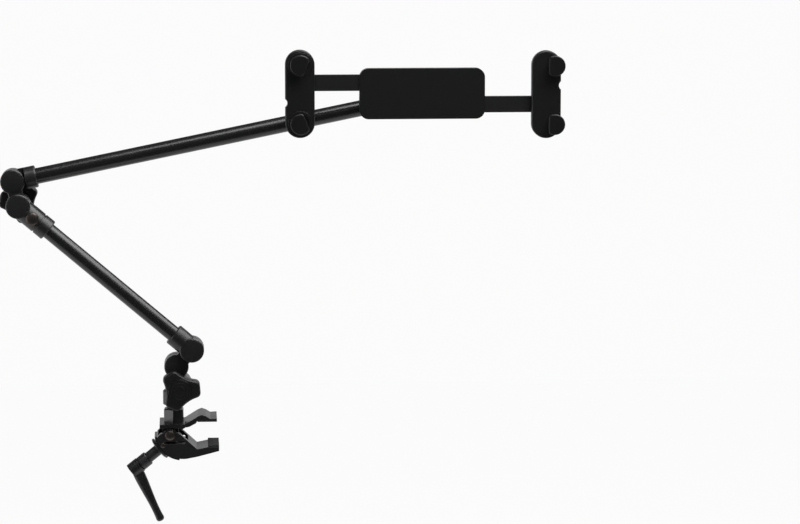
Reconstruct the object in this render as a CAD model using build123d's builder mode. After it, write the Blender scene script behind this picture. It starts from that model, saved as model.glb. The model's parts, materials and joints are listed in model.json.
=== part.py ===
from build123d import *
import math
import os

# Table arm for a tablet: a screw clamp for a table edge, a post, three linked eyes at the
# shoulder, two tubes with a two-axis elbow, and a width-adjustable holder with four grips.
# X runs to the right, Y away from the front, Z up. The origin lies on the pad of the upper jaw,
# over the table's edge, so Z 0 is the table top.

# Places of the joint axes in the side plane, as X and Z
KNOB_AXIS = (-19.7, 34.8)
LINK_AXIS = (-23.0, 56.4)
SHOULDER_AXIS = (-7.5, 74.6)
LOWER_ARM_LENGTH = 223.8
LOWER_ARM_ANGLE = 139.4
ELBOW_LINK_LENGTH = 24.0
ELBOW_LINK_ANGLE = 103.5
UPPER_ARM_LENGTH = 413.0
UPPER_ARM_ANGLE = 11.5

# Eyes and their washers
EYE_RADIUS = 12.2
EYE_THICKNESS = 10.2
EYE_EDGE = 1.2
WASHER_THICKNESS = 0.8
WASHER_RADIUS = 9.5
FACE_GAP = 0.1
RUNNING_FIT = 0.05
LINK_WAIST = 14.5
CUT_SPARE = 1.0

# Pivot bolts and set screws
BOLT_RADIUS = 4.0
BOLT_HEAD_RADIUS = 6.5
BOLT_HEAD = 4.0
BOLT_KEY = 2.9
BOLT_REACH = 6.5

# Tubes and the sleeves that hold them
TUBE_RADIUS = 8.0
TUBE_WALL = 1.5
SLEEVE_RADIUS = 11.1
SLEEVE_START = 13.0
SLEEVE_ROOT = 7.0
SLEEVE_EDGE = 0.8
SHORT_SLEEVE = 24.0
LONG_SLEEVE = 38.5
GROOVE_PLACE = 26.0
GROOVE_WIDTH = 1.6
GROOVE_DEPTH = 0.8
TUBE_SEAT = 15.0
BOSS_PLACE = 18.5
BOSS_RADIUS = 6.3
BOSS_HEIGHT = 1.3
BOSS_SINK = 2.5
BOSS_EDGE = 0.8

# Three-lobed knobs
KNOB_LOBES = 3
KNOB_REACH = 20.3
KNOB_LOBE_WIDTH = 16.4
KNOB_LOBE_CORNER = 4.5
KNOB_HOLLOW = 15.0
KNOB_THICKNESS = 15.5
KNOB_EDGE = 2.0
KNOB_BOSS_RADIUS = 7.8
KNOB_BOSS = 11.8
KNOB_FACE_RADIUS = 11.6
KNOB_FACE_DEPTH = 1.2
KNOB_INSERT_RADIUS = 6.0
KNOB_INSERT_LENGTH = 12.0
KNOB_STUD_REACH = 18.0
KNOB_STUD_GAP = 1.0
SHOULDER_KNOB_TURN = 5.0
ELBOW_KNOB_TURN = 50.0

# Post and the collar that carries it
POST_X = -26.2
COLLAR_RADIUS = 11.0
COLLAR_TURN = 26.5
COLLAR_HEIGHT = 13.6
COLLAR_EDGE = 1.0
STUD_RADIUS = 6.0
STUD_SINK = 8.0
POST_NECK_RADIUS = 6.8
POST_NECK_HEIGHT = 3.6
POST_BODY_RADIUS = 10.7
POST_BODY_TOP = 30.0
POST_EDGE = 1.2
LINK_CLEARANCE = 0.7

# Upper jaw of the clamp
CLAMP_WIDTH = 40.0
TONGUE_WIDTH = 25.4
TONGUE_GAP = 0.3
CLAMP_TOP = -2.4
CLAMP_BOTTOM = -6.2
CLAMP_LEFT = -40.5
PLATE_RIGHT = -15.0
LIP_PAD = 1.2
LIP_START = -2.5
LIP_REACH = 17.0
LIP_ROOT = (-19.2, -8.6)
LIP_UNDER = ((-15.0, -5.6), (-11.0, -5.0), (-4.0, -1.4))
LIP_TOP = ((17.0, 3.3), (10.5, 2.9), (6.0, 5.7), (2.0, 7.1), (-2.0, 5.6))
TONGUE = ((-38.0, -6.0), (-38.0, -14.0), (-36.0, -22.0), (-26.0, -24.0), (-21.5, -17.0), (-21.5, -6.0))

# Lower jaw and its hinge pin
JAW_PIN = (-30.1, -13.2)
JAW_PIN_RADIUS = 3.0
JAW_PIN_HEAD_RADIUS = 5.0
JAW_PIN_HEAD = 1.2
JAW_BOSS_RADIUS = 6.5
JAW_CENTRE = (-16.8, -11.0)
JAW_RADIUS = 26.7
JAW_FIRST = 190.0
JAW_LAST = 283.0
JAW_TRACK_RADIUS = 29.3
JAW_TRACK_WIDTH = 29.0
JAW_TRACK_LAST = 262.0
JAW_CAVITY_RADIUS = 25.7
JAW_CAVITY_RIGHT = -12.0
JAW_SLOT_INNER = 22.0
JAW_BELLY = (-3.0, -35.6)
JAW_TIP_REACH = 19.0
JAW_TIP_START = 8.0
JAW_TIP_UNDER = -30.0
JAW_NOTCH = ((-3.0, -28.0), (-19.8, -12.5), (-24.0, -10.0), (-36.0, -11.0), (-40.0, -12.2))
TABLE_THICKNESS = 24.0
JAW_PAD = 1.8
JAW_SLOT = (-24.9, -20.9)
JAW_SLOT_LENGTH = 20.4
JAW_SLOT_HEIGHT = 2.5
JAW_RIVET = (-37.2, -23.5)
JAW_RIVET_RADIUS = 2.5
JAW_RIVET_HEAD = 0.6

# Screw of the clamp, by distance from the jaw's centre along the screw
SCREW_ANGLE = 39.0
SCREW_RADIUS = 4.5
SCREW_TIP = 16.4
SCREW_TIP_EDGE = 0.8
SCREW_SLOT = 11.0
SCREW_SLOT_FIRST = 200.0
SCREW_SLOT_LAST = 249.0
BARREL_START = 13.0
BARREL_WIDTH = 18.0
BARREL_END = 23.9
NUT_RADIUS = 6.4
NUT_START = 15.4
NUT_LENGTH = 8.3
BORE_START = 14.85
BORE_SPACE = 0.3
THRUST_GAP = 0.45
THRUST_RADIUS = 12.0
THRUST_THICKNESS = 2.4
THRUST_DISH = 0.9
SCREW_COLLAR_RADIUS = 5.65
SCREW_COLLAR_END = 45.5
FERRULE_RADIUS = 7.3
FERRULE_CORE = 5.0
FERRULE_END = 56.0
FERRULE_EDGE = 0.8
HUB_RADIUS = 7.8
HUB_END = 67.5
HUB_SOCKET_RADIUS = 5.3
HUB_SOCKET = 2.5
HUB_WEB = 1.2
HUB_SCREW_RADIUS = 2.5
HUB_SCREW_HEAD_RADIUS = 4.2
HUB_SCREW_HEAD = 2.0
HUB_SCREW_KEY = 2.0

# Lever arm: distance from the hub's axis, width in the side plane and thickness
LEVER_ANGLE = -65.5
LEVER_SECTIONS = ((5.6, 11.6, 9.4), (26.0, 9.8, 8.4), (46.0, 7.6, 7.4), (60.4, 9.0, 8.2))
LEVER_CORNER = 0.45
LEVER_END_EDGE = 3.2

# Tablet holder
BRACKET_BACK = -44.0
BRACKET_THICKNESS = 8.0
BRACKET_RADIUS = 14.5
BRACKET_PITCH = 57.6
BRACKET_EDGE = 1.6
BRACKET_NOTCH_RADIUS = 5.0
BRACKET_NOTCH_DEPTH = 2.2
BRACKET_NOTCH_OFFSET = 9.0
LEFT_EDGE = 86.15
RIGHT_EDGE = 358.3
LEFT_RISE = 5.6
RIGHT_RISE = 3.9
LEFT_GRIP_INSET = 14.8
RIGHT_GRIP_INSET = 7.3
GRIP_BOSS_RADIUS = 12.0
GRIP_BOSS_HEIGHT = 0.8
TABLET_GAP = 8.5
GRIP_CORE_RADIUS = 8.6
GRIP_CORE_FLAT = 0.7
GRIP_CAP_RADIUS = 10.2
GRIP_CAP_FLAT = 6.0
GRIP_CAP_CORNER = 3.0
GRIP_CAP_THICKNESS = 4.0
GRIP_CAP_EDGE = 1.0
GRIP_STEM_RADIUS = 3.0
GRIP_STEM_CORE = 1.5
GRIP_NUT_RADIUS = 5.0
GRIP_NUT_HEIGHT = 2.4
GRIP_TURN = 22.0
HOUSING_LENGTH = 124.0
HOUSING_HEIGHT = 50.0
HOUSING_THICKNESS = 11.0
HOUSING_CORNER = 9.0
HOUSING_EDGE = 1.4
SLIDE_LANE = 11.0
SLIDE_HEIGHT = 16.0
SLIDE_THICKNESS = 5.0
SLIDE_DEPTH = 2.0
SLIDE_FIT = 0.15
SLIDE_INSIDE = 78.0
SLIDE_FOOT = 26.0

# Head between the upper tube and the holder
TUBE_END = 30.0
HEAD_RING_RADIUS = 10.6
HEAD_RING_LENGTH = 14.0
HEAD_RING_EDGE = 0.8
SPIGOT_LENGTH = 18.0
HEAD_COLLAR_RADIUS = 9.6
HEAD_COLLAR = 8.0
FORK_RADIUS = 7.6
FORK_CHEEK = 3.8
LUG_RADIUS = 8.0
LUG_WIDTH = 9.0
LUG_NECK = 14.0
LUG_PIN_RADIUS = 3.0
HEAD_DISC_RADIUS = 17.0
HEAD_DISC = 4.0
HEAD_DISC_EDGE = 1.0
HEAD_HUB_RADIUS = 6.0
HEAD_HUB_LENGTH = 3.0

# Depths of the layers of eyes, from the post at the back to the lower tube at the front
LAYER = EYE_THICKNESS + WASHER_THICKNESS + 2 * FACE_GAP
HALF_SPLIT = (WASHER_THICKNESS + 2 * FACE_GAP) / 2
POST_SPLIT = 0.0
LINK_SPLIT = POST_SPLIT - LAYER
LOWER_PLANE = LINK_SPLIT - LAYER
UPPER_PLANE = LINK_SPLIT
COLLAR_TOP = CLAMP_TOP + COLLAR_HEIGHT
SCREW_BACK = SCREW_ANGLE + 180.0
THRUST_START = JAW_TRACK_RADIUS + THRUST_GAP
THRUST_END = THRUST_START + THRUST_THICKNESS
BRACKET_FRONT = BRACKET_BACK - BRACKET_THICKNESS
CAP_BACK = BRACKET_FRONT - TABLET_GAP
HOUSING_BACK = BRACKET_BACK + HOUSING_THICKNESS


def beside(point, angle, distance):
    """A point in the side plane, moved along an angle."""
    turn = math.radians(angle)
    return (point[0] + distance * math.cos(turn), point[1] + distance * math.sin(turn))


def side_plane(point, y, angle=0.0):
    """Plane that faces the front at a depth, with its x along an angle in the side plane."""
    along = beside((0, 0), angle, 1.0)
    return Plane(origin=(point[0], y, point[1]), x_dir=(along[0], 0, along[1]), z_dir=(0, -1, 0))


def back_plane(point, y, angle=0.0):
    """Plane that faces the back at a depth, with its x along an angle in the side plane."""
    along = beside((0, 0), angle, 1.0)
    return Plane(origin=(point[0], y, point[1]), x_dir=(along[0], 0, along[1]), z_dir=(0, 1, 0))


def across_plane(point, y, angle):
    """Plane square to a direction in the side plane, with its x along Y."""
    along = beside((0, 0), angle, 1.0)
    return Plane(origin=(point[0], y, point[1]), x_dir=(0, 1, 0), z_dir=(along[0], 0, along[1]))


def screw_plane(distance):
    """Plane square to the clamp's screw at a distance from the jaw's centre."""
    return across_plane(beside(JAW_CENTRE, SCREW_BACK, distance), 0, SCREW_BACK)


SCREW_LINE = Axis(screw_plane(0).origin, screw_plane(0).z_dir)
ELBOW_AXIS = beside(SHOULDER_AXIS, LOWER_ARM_ANGLE, LOWER_ARM_LENGTH)
WRIST_AXIS = beside(ELBOW_AXIS, ELBOW_LINK_ANGLE, ELBOW_LINK_LENGTH)
HEAD_AXIS = beside(WRIST_AXIS, UPPER_ARM_ANGLE, UPPER_ARM_LENGTH)
LOWER_BACK = LOWER_ARM_ANGLE + 180.0
BOSS_DEPTH = LOWER_PLANE - SLEEVE_RADIUS + BOSS_SINK
BOSS_PLANE = side_plane(beside(ELBOW_AXIS, LOWER_BACK, BOSS_PLACE), BOSS_DEPTH)
LEFT_X = LEFT_EDGE + BRACKET_RADIUS
RIGHT_X = RIGHT_EDGE - BRACKET_RADIUS
LEFT_Z = HEAD_AXIS[1] + LEFT_RISE
RIGHT_Z = HEAD_AXIS[1] + RIGHT_RISE
HOLDER_Z = (LEFT_Z + RIGHT_Z) / 2


def save(piece, name):
    """Labels a finished piece and writes its file."""
    piece.part.label = name
    export_step(piece.part, f"parts/{name}.step")


def rod(plane, radius, length, mode=Mode.ADD):
    """Adds a round bar to the open part, from a plane along its normal."""
    with Locations(plane):
        Cylinder(radius, length, align=(Align.CENTER, Align.CENTER, Align.MIN), mode=mode)


def bore(plane, radius, depth):
    """Cuts a round hole in the open part, from a plane along its normal."""
    rod(plane, radius, depth, Mode.SUBTRACT)


def slab(points, y, width):
    """Adds a plate to the open part: an outline in the side plane, from a depth to the front."""
    plane = side_plane((0, 0), y)
    corners = [plane.from_local_coords(point) for point in points]
    extrude(Face(Wire.make_polygon(corners)), amount=width, dir=plane.z_dir)


# Friction washer on the split between two eyes
def washer(point, split_y):
    with BuildPart() as ring:
        with BuildSketch(side_plane(point, split_y + WASHER_THICKNESS / 2)):
            Circle(WASHER_RADIUS)
            Circle(BOLT_RADIUS + RUNNING_FIT, mode=Mode.SUBTRACT)
        extrude(amount=WASHER_THICKNESS)
    return ring


# Socket-head bolt: its head is sunk in the back eye and its end is blind in the front eye
def pivot_bolt(point, split_y):
    back = split_y + HALF_SPLIT + EYE_THICKNESS
    front = split_y - HALF_SPLIT - BOLT_REACH
    with BuildPart() as bolt:
        rod(side_plane(point, back), BOLT_HEAD_RADIUS, BOLT_HEAD)
        rod(side_plane(point, back - BOLT_HEAD), BOLT_RADIUS, back - BOLT_HEAD - front)
        with BuildSketch(side_plane(point, back)):
            RegularPolygon(BOLT_KEY, 6)
        extrude(amount=BOLT_HEAD / 2, mode=Mode.SUBTRACT)
    return bolt


# Hole of an eye, from its back face: "blind" takes a bolt's end, "sunk" a bolt with its head,
# "tight" a stud's shank and "through" a shank that turns in it
def eye_hole(plane, kind):
    if kind == "blind":
        bore(plane, BOLT_RADIUS, BOLT_REACH)
    elif kind == "tight":
        bore(plane, BOLT_RADIUS, EYE_THICKNESS)
    else:
        bore(plane, BOLT_RADIUS + RUNNING_FIT, EYE_THICKNESS)
    if kind == "sunk":
        bore(plane, BOLT_HEAD_RADIUS + RUNNING_FIT, BOLT_HEAD + FACE_GAP)


# Flat link with an eye at each end
def link(start, end, back_y, start_hole, end_hole):
    span = math.dist(start, end)
    angle = math.degrees(math.atan2(end[1] - start[1], end[0] - start[0]))
    with BuildPart() as piece:
        with BuildSketch(side_plane(start, back_y, angle)):
            with Locations((0, 0), (span, 0)):
                Circle(EYE_RADIUS)
            with Locations((span / 2, 0)):
                Rectangle(span, LINK_WAIST)
        extrude(amount=EYE_THICKNESS)
        fillet(piece.faces().sort_by(Axis.Y)[0].edges(), EYE_EDGE)
        eye_hole(side_plane(start, back_y), start_hole)
        eye_hole(side_plane(end, back_y), end_hole)
    return piece


# Sleeve for a tube's end that narrows to a half-thickness eye on its pivot
def tube_fitting(point, angle, tube_y, in_front, length, hole):
    reach = SLEEVE_RADIUS + CUT_SPARE
    eye_back = tube_y - HALF_SPLIT if in_front else tube_y + HALF_SPLIT + EYE_THICKNESS
    cut_from = tube_y + reach if in_front else tube_y + HALF_SPLIT
    with BuildPart() as piece:
        rod(side_plane(point, eye_back), EYE_RADIUS, EYE_THICKNESS)
        ends = piece.faces().sort_by(Axis.Y)
        fillet((ends[0] if in_front else ends[-1]).edges(), EYE_EDGE)
        root = across_plane(beside(point, angle, SLEEVE_ROOT), tube_y, angle)
        rod(root, SLEEVE_RADIUS, length - SLEEVE_ROOT)
        along = side_plane(point, tube_y, angle)
        end_face = piece.faces().sort_by(Axis(along.origin, along.x_dir))[-1]
        chamfer(end_face.edges(), SLEEVE_EDGE)
        with BuildSketch(side_plane(point, cut_from, angle)):
            Rectangle(SLEEVE_START, 2 * reach, align=(Align.MIN, Align.CENTER))
        extrude(amount=reach + HALF_SPLIT, mode=Mode.SUBTRACT)
        bore(across_plane(beside(point, angle, TUBE_SEAT), tube_y, angle), TUBE_RADIUS, length - TUBE_SEAT)
        eye_hole(side_plane(point, eye_back), hole)
    return piece


# Round tube that starts at a seat
def arm_tube(start, angle, tube_y, length):
    with BuildPart() as tube:
        with BuildSketch(across_plane(start, tube_y, angle)):
            Circle(TUBE_RADIUS)
            Circle(TUBE_RADIUS - TUBE_WALL, mode=Mode.SUBTRACT)
        extrude(amount=length)
    return tube


# Three-lobed knob with a boss that reaches back to the eye; the plane faces away from the eye
def star_knob(plane):
    base = plane.offset(KNOB_BOSS)
    top = base.offset(KNOB_THICKNESS)
    with BuildPart() as knob:
        with BuildSketch(base) as outline:
            with PolarLocations(0, KNOB_LOBES):
                Rectangle(KNOB_REACH, KNOB_LOBE_WIDTH, align=(Align.MIN, Align.CENTER))
            corners = outline.vertices().sort_by_distance((0, 0, 0))
            fillet(corners[KNOB_LOBES:], KNOB_LOBE_CORNER)
            corners = outline.vertices().sort_by_distance((0, 0, 0))
            fillet(corners[:KNOB_LOBES], KNOB_HOLLOW)
        extrude(amount=KNOB_THICKNESS)
        face = knob.faces().sort_by(Axis(plane.origin, plane.z_dir))[-1]
        fillet(face.edges(), KNOB_EDGE)
        rod(plane, KNOB_BOSS_RADIUS, KNOB_BOSS)
        bore(top.offset(-KNOB_FACE_DEPTH), KNOB_FACE_RADIUS, KNOB_FACE_DEPTH)
        bore(plane, KNOB_INSERT_RADIUS, KNOB_STUD_REACH + KNOB_STUD_GAP)
    return knob


# Disc in the face of a knob
def knob_face(plane):
    start = plane.offset(KNOB_BOSS + KNOB_THICKNESS - KNOB_FACE_DEPTH)
    with BuildPart() as disc:
        rod(start, KNOB_FACE_RADIUS, KNOB_FACE_DEPTH)
    return disc


# Metal insert in the knob's boss
def knob_insert(plane):
    with BuildPart() as insert:
        rod(plane, KNOB_INSERT_RADIUS, KNOB_INSERT_LENGTH)
        bore(plane, BOLT_RADIUS + RUNNING_FIT, KNOB_INSERT_LENGTH)
    return insert


# Frame of the clamp: plate, lip over the table, and a tongue that holds the nut
def clamp_frame():
    under = (*LIP_UNDER, (LIP_START, LIP_PAD), (LIP_REACH, LIP_PAD))
    lip = (LIP_ROOT, *under, *LIP_TOP, (PLATE_RIGHT, CLAMP_TOP), (LIP_ROOT[0], CLAMP_TOP))
    with BuildPart() as frame:
        slab(lip, CLAMP_WIDTH / 2, CLAMP_WIDTH)
        plate = (
            (CLAMP_LEFT, CLAMP_TOP),
            (CLAMP_LEFT, CLAMP_BOTTOM),
            (PLATE_RIGHT, CLAMP_BOTTOM),
            (PLATE_RIGHT, CLAMP_TOP),
        )
        slab(plate, CLAMP_WIDTH / 2, CLAMP_WIDTH)
        with BuildSketch(side_plane((0, 0), TONGUE_WIDTH / 2)):
            with BuildLine():
                Polyline(*TONGUE, close=True)
            make_face()
            with Locations(Location((JAW_CENTRE[0], JAW_CENTRE[1]), SCREW_BACK)):
                with Locations((BARREL_START, 0)):
                    Rectangle(2 * BARREL_START, BARREL_WIDTH, align=(Align.MIN, Align.CENTER))
            with Locations(JAW_CENTRE):
                Circle(BARREL_END, mode=Mode.INTERSECT)
        extrude(amount=TONGUE_WIDTH)
        bore(side_plane(JAW_PIN, CLAMP_WIDTH / 2), JAW_PIN_RADIUS, CLAMP_WIDTH)
        bore(screw_plane(BORE_START), SCREW_RADIUS + BORE_SPACE, BARREL_END)
        bore(screw_plane(NUT_START), NUT_RADIUS, BARREL_END)
    return frame


def clamp_pad():
    with BuildPart() as pad:
        outline = ((LIP_START, 0), (LIP_REACH, 0), (LIP_REACH, LIP_PAD), (LIP_START, LIP_PAD))
        slab(outline, CLAMP_WIDTH / 2, CLAMP_WIDTH)
    return pad


def clamp_nut():
    with BuildPart() as nut:
        rod(screw_plane(NUT_START), NUT_RADIUS, NUT_LENGTH)
        bore(screw_plane(NUT_START), SCREW_RADIUS + RUNNING_FIT, NUT_LENGTH)
    return nut


def jaw_pin():
    half = CLAMP_WIDTH / 2 + FACE_GAP
    with BuildPart() as pin:
        rod(side_plane(JAW_PIN, half), JAW_PIN_RADIUS, 2 * half)
        rod(side_plane(JAW_PIN, half + JAW_PIN_HEAD), JAW_PIN_HEAD_RADIUS, JAW_PIN_HEAD)
        rod(side_plane(JAW_PIN, -half), JAW_PIN_HEAD_RADIUS, JAW_PIN_HEAD)
    return pin


# Hexagonal collar in which the post turns
def post_collar():
    with BuildPart() as collar:
        with BuildSketch(Plane(origin=(POST_X, 0, CLAMP_TOP))):
            RegularPolygon(COLLAR_RADIUS, 6, rotation=COLLAR_TURN)
        extrude(amount=COLLAR_HEIGHT)
        chamfer(collar.faces().sort_by(Axis.Z)[-1].edges(), COLLAR_EDGE)
        bore(Plane(origin=(POST_X, 0, COLLAR_TOP - STUD_SINK)), STUD_RADIUS + RUNNING_FIT, STUD_SINK)
    return collar


# Lower jaw: a hollow shell on the hinge pin, with a track on its back for the screw's washer
def lower_jaw():
    half = CLAMP_WIDTH / 2
    first = beside(JAW_CENTRE, JAW_FIRST, JAW_RADIUS)
    last = beside(JAW_CENTRE, JAW_LAST, JAW_RADIUS)
    tip_top = -TABLE_THICKNESS - JAW_PAD
    tip = ((JAW_TIP_REACH, JAW_TIP_UNDER), (JAW_TIP_REACH, tip_top), (JAW_TIP_START, tip_top))
    track = jaw_sector(JAW_TRACK_RADIUS, JAW_CAVITY_RADIUS, JAW_FIRST, JAW_TRACK_LAST, JAW_TRACK_WIDTH)
    past_track = JAW_TRACK_RADIUS + CUT_SPARE
    slot = jaw_sector(past_track, JAW_SLOT_INNER, SCREW_SLOT_FIRST, SCREW_SLOT_LAST, SCREW_SLOT)
    with BuildPart() as jaw:
        with BuildSketch(side_plane((0, 0), half)):
            with BuildLine():
                CenterArc(JAW_CENTRE, JAW_RADIUS, JAW_FIRST, JAW_LAST - JAW_FIRST)
                Polyline(last, JAW_BELLY, *tip, *JAW_NOTCH, first)
            make_face()
            with Locations(JAW_PIN):
                Circle(JAW_BOSS_RADIUS)
            with Locations(JAW_SLOT):
                SlotOverall(JAW_SLOT_LENGTH, JAW_SLOT_HEIGHT, mode=Mode.SUBTRACT)
        extrude(amount=CLAMP_WIDTH)
        add(track.part)
        cavity = TONGUE_WIDTH + 2 * TONGUE_GAP
        with BuildSketch(side_plane((0, 0), cavity / 2)):
            with Locations(JAW_CENTRE):
                Circle(JAW_CAVITY_RADIUS)
            with Locations((JAW_CAVITY_RIGHT, JAW_CENTRE[1])):
                side = 2 * JAW_TRACK_RADIUS
                Rectangle(side, side, align=(Align.MIN, Align.CENTER), mode=Mode.SUBTRACT)
        extrude(amount=cavity, mode=Mode.SUBTRACT)
        add(slot.part, mode=Mode.SUBTRACT)
        bore(side_plane(JAW_PIN, half), JAW_PIN_RADIUS + RUNNING_FIT, CLAMP_WIDTH)
        bore(side_plane(JAW_RIVET, half), JAW_RIVET_RADIUS, CLAMP_WIDTH)
    return jaw


def jaw_pad():
    top = -TABLE_THICKNESS
    with BuildPart() as pad:
        bottom = top - JAW_PAD
        lower = ((JAW_TIP_START, bottom), (JAW_TIP_REACH, bottom))
        upper = ((JAW_TIP_REACH, top), (JAW_TIP_START, top))
        slab((*lower, *upper), CLAMP_WIDTH / 2, CLAMP_WIDTH)
    return pad


# Sector of a ring about the jaw's centre
def jaw_sector(outer, inner, first, last, width):
    with BuildPart() as sector:
        with BuildSketch(side_plane((0, 0), width / 2)):
            with BuildLine():
                CenterArc(JAW_CENTRE, outer, first, last - first)
                Line(beside(JAW_CENTRE, last, outer), beside(JAW_CENTRE, last, inner))
                CenterArc(JAW_CENTRE, inner, last, first - last)
                Line(beside(JAW_CENTRE, first, inner), beside(JAW_CENTRE, first, outer))
            make_face()
        extrude(amount=width)
    return sector


def jaw_rivets():
    inner = TONGUE_WIDTH / 2 + TONGUE_GAP
    outer = CLAMP_WIDTH / 2 + JAW_RIVET_HEAD
    with BuildPart() as rivets:
        rod(side_plane(JAW_RIVET, outer), JAW_RIVET_RADIUS, outer - inner)
        rod(side_plane(JAW_RIVET, -inner), JAW_RIVET_RADIUS, outer - inner)
    return rivets


# Dished washer that presses on the jaw's track
def thrust_washer():
    with BuildPart() as ring:
        rod(screw_plane(THRUST_START), THRUST_RADIUS, THRUST_THICKNESS)
        far = ring.faces().sort_by(SCREW_LINE)[-1]
        chamfer(far.edges(), THRUST_DISH, 2 * THRUST_DISH)
        bore(screw_plane(THRUST_START), SCREW_RADIUS + RUNNING_FIT, THRUST_THICKNESS)
    return ring


# Screw with its collar, the core of the ferrule and the drive that fits the lever's socket
def spindle():
    start = THRUST_END + FACE_GAP
    with BuildPart() as piece:
        rod(screw_plane(SCREW_TIP), SCREW_RADIUS, start - SCREW_TIP)
        tip = piece.faces().sort_by(SCREW_LINE)[0]
        chamfer(tip.edges(), SCREW_TIP_EDGE)
        rod(screw_plane(start), SCREW_COLLAR_RADIUS, SCREW_COLLAR_END - start)
        rod(screw_plane(SCREW_COLLAR_END), FERRULE_CORE, FERRULE_END - SCREW_COLLAR_END)
        rod(screw_plane(FERRULE_END), HUB_SOCKET_RADIUS - RUNNING_FIT, HUB_SOCKET)
    return piece


def spindle_ferrule():
    with BuildPart() as ring:
        rod(screw_plane(SCREW_COLLAR_END), FERRULE_RADIUS, FERRULE_END - SCREW_COLLAR_END)
        chamfer(ring.edges(), FERRULE_EDGE)
        bore(screw_plane(SCREW_COLLAR_END), FERRULE_CORE, FERRULE_END - SCREW_COLLAR_END)
    return ring


# Lever: a hub that lifts on its socket, and a tapering arm
def lever_handle():
    start = FERRULE_END + FACE_GAP
    middle = beside(JAW_CENTRE, SCREW_BACK, (start + HUB_END) / 2)
    web_end = FERRULE_END + HUB_SOCKET + FACE_GAP + HUB_WEB
    with BuildPart() as lever:
        for distance, width, thickness in LEVER_SECTIONS:
            with BuildSketch(across_plane(beside(middle, LEVER_ANGLE, distance), 0, LEVER_ANGLE)):
                RectangleRounded(thickness, width, LEVER_CORNER * thickness)
        loft()
        along = across_plane(middle, 0, LEVER_ANGLE)
        end_face = lever.faces().sort_by(Axis(along.origin, along.z_dir))[-1]
        fillet(end_face.edges(), LEVER_END_EDGE)
        rod(screw_plane(start), HUB_RADIUS, HUB_END - start)
        bore(screw_plane(start), HUB_SOCKET_RADIUS, HUB_SOCKET)
        bore(screw_plane(start), HUB_SCREW_RADIUS + RUNNING_FIT, HUB_END - start)
        bore(screw_plane(web_end), HUB_SCREW_HEAD_RADIUS + BORE_SPACE, HUB_END - web_end)
    return lever


def lever_screw():
    start = FERRULE_END + HUB_SOCKET
    with BuildPart() as screw:
        rod(screw_plane(start), HUB_SCREW_RADIUS, HUB_END - start)
        rod(screw_plane(HUB_END - HUB_SCREW_HEAD), HUB_SCREW_HEAD_RADIUS, HUB_SCREW_HEAD)
        with BuildSketch(screw_plane(HUB_END - HUB_SCREW_HEAD / 2)):
            RegularPolygon(HUB_SCREW_KEY, 6)
        extrude(amount=HUB_SCREW_HEAD, mode=Mode.SUBTRACT)
    return screw


# Post: a stud and neck in the collar, a round body, and a half-thickness eye behind the link
def post():
    neck_top = COLLAR_TOP + FACE_GAP + POST_NECK_HEIGHT
    eye_back = POST_SPLIT + HALF_SPLIT + EYE_THICKNESS
    with BuildPart() as piece:
        rod(Plane(origin=(POST_X, 0, neck_top)), POST_BODY_RADIUS, POST_BODY_TOP - neck_top)
        fillet(piece.faces().sort_by(Axis.Z)[0].edges(), POST_EDGE)
        chamfer(piece.faces().sort_by(Axis.Z)[-1].edges(), POST_EDGE)
        rod(side_plane(KNOB_AXIS, eye_back), EYE_RADIUS, EYE_THICKNESS)
        with BuildSketch(side_plane((POST_X, POST_BODY_TOP), POST_SPLIT + HALF_SPLIT)):
            side = 2 * POST_BODY_RADIUS
            Rectangle(side + EYE_RADIUS, side, align=(Align.CENTER, Align.MIN))
        extrude(amount=side, mode=Mode.SUBTRACT)
        with BuildSketch(side_plane(KNOB_AXIS, POST_SPLIT + HALF_SPLIT)):
            Circle(EYE_RADIUS + LINK_CLEARANCE)
        extrude(amount=side, mode=Mode.SUBTRACT)
        rod(Plane(origin=(POST_X, 0, COLLAR_TOP + FACE_GAP)), POST_NECK_RADIUS, POST_NECK_HEIGHT)
        stud_start = COLLAR_TOP - STUD_SINK + FACE_GAP
        rod(Plane(origin=(POST_X, 0, stud_start)), STUD_RADIUS, STUD_SINK)
        eye_hole(side_plane(KNOB_AXIS, eye_back), "tight")
        bore(side_plane(KNOB_AXIS, eye_back), BOLT_HEAD_RADIUS, BOLT_HEAD)
    return piece


# Stud in the post, through the link, to inside the shoulder knob
def shoulder_stud(knob_plane):
    back = POST_SPLIT + HALF_SPLIT + EYE_THICKNESS
    reach = back - knob_plane.origin.Y + KNOB_STUD_REACH
    with BuildPart() as stud:
        rod(side_plane(KNOB_AXIS, back), BOLT_HEAD_RADIUS, BOLT_HEAD)
        rod(side_plane(KNOB_AXIS, back), BOLT_RADIUS, reach)
    return stud


# Stud in the front eye of the lower arm, through the elbow link, to inside the elbow knob
def elbow_stud(knob_plane):
    front = LOWER_PLANE - HALF_SPLIT - BOLT_REACH
    reach = knob_plane.origin.Y + KNOB_STUD_REACH - front
    with BuildPart() as stud:
        rod(back_plane(ELBOW_AXIS, front), BOLT_RADIUS, reach)
    return stud


# Round boss on the front of the elbow sleeve, sunk in its wall
def sleeve_boss():
    with BuildPart() as boss:
        rod(BOSS_PLANE, BOSS_RADIUS, BOSS_SINK + BOSS_HEIGHT)
        fillet(boss.faces().sort_by(Axis.Y)[0].edges(), BOSS_EDGE)
    return boss


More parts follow.
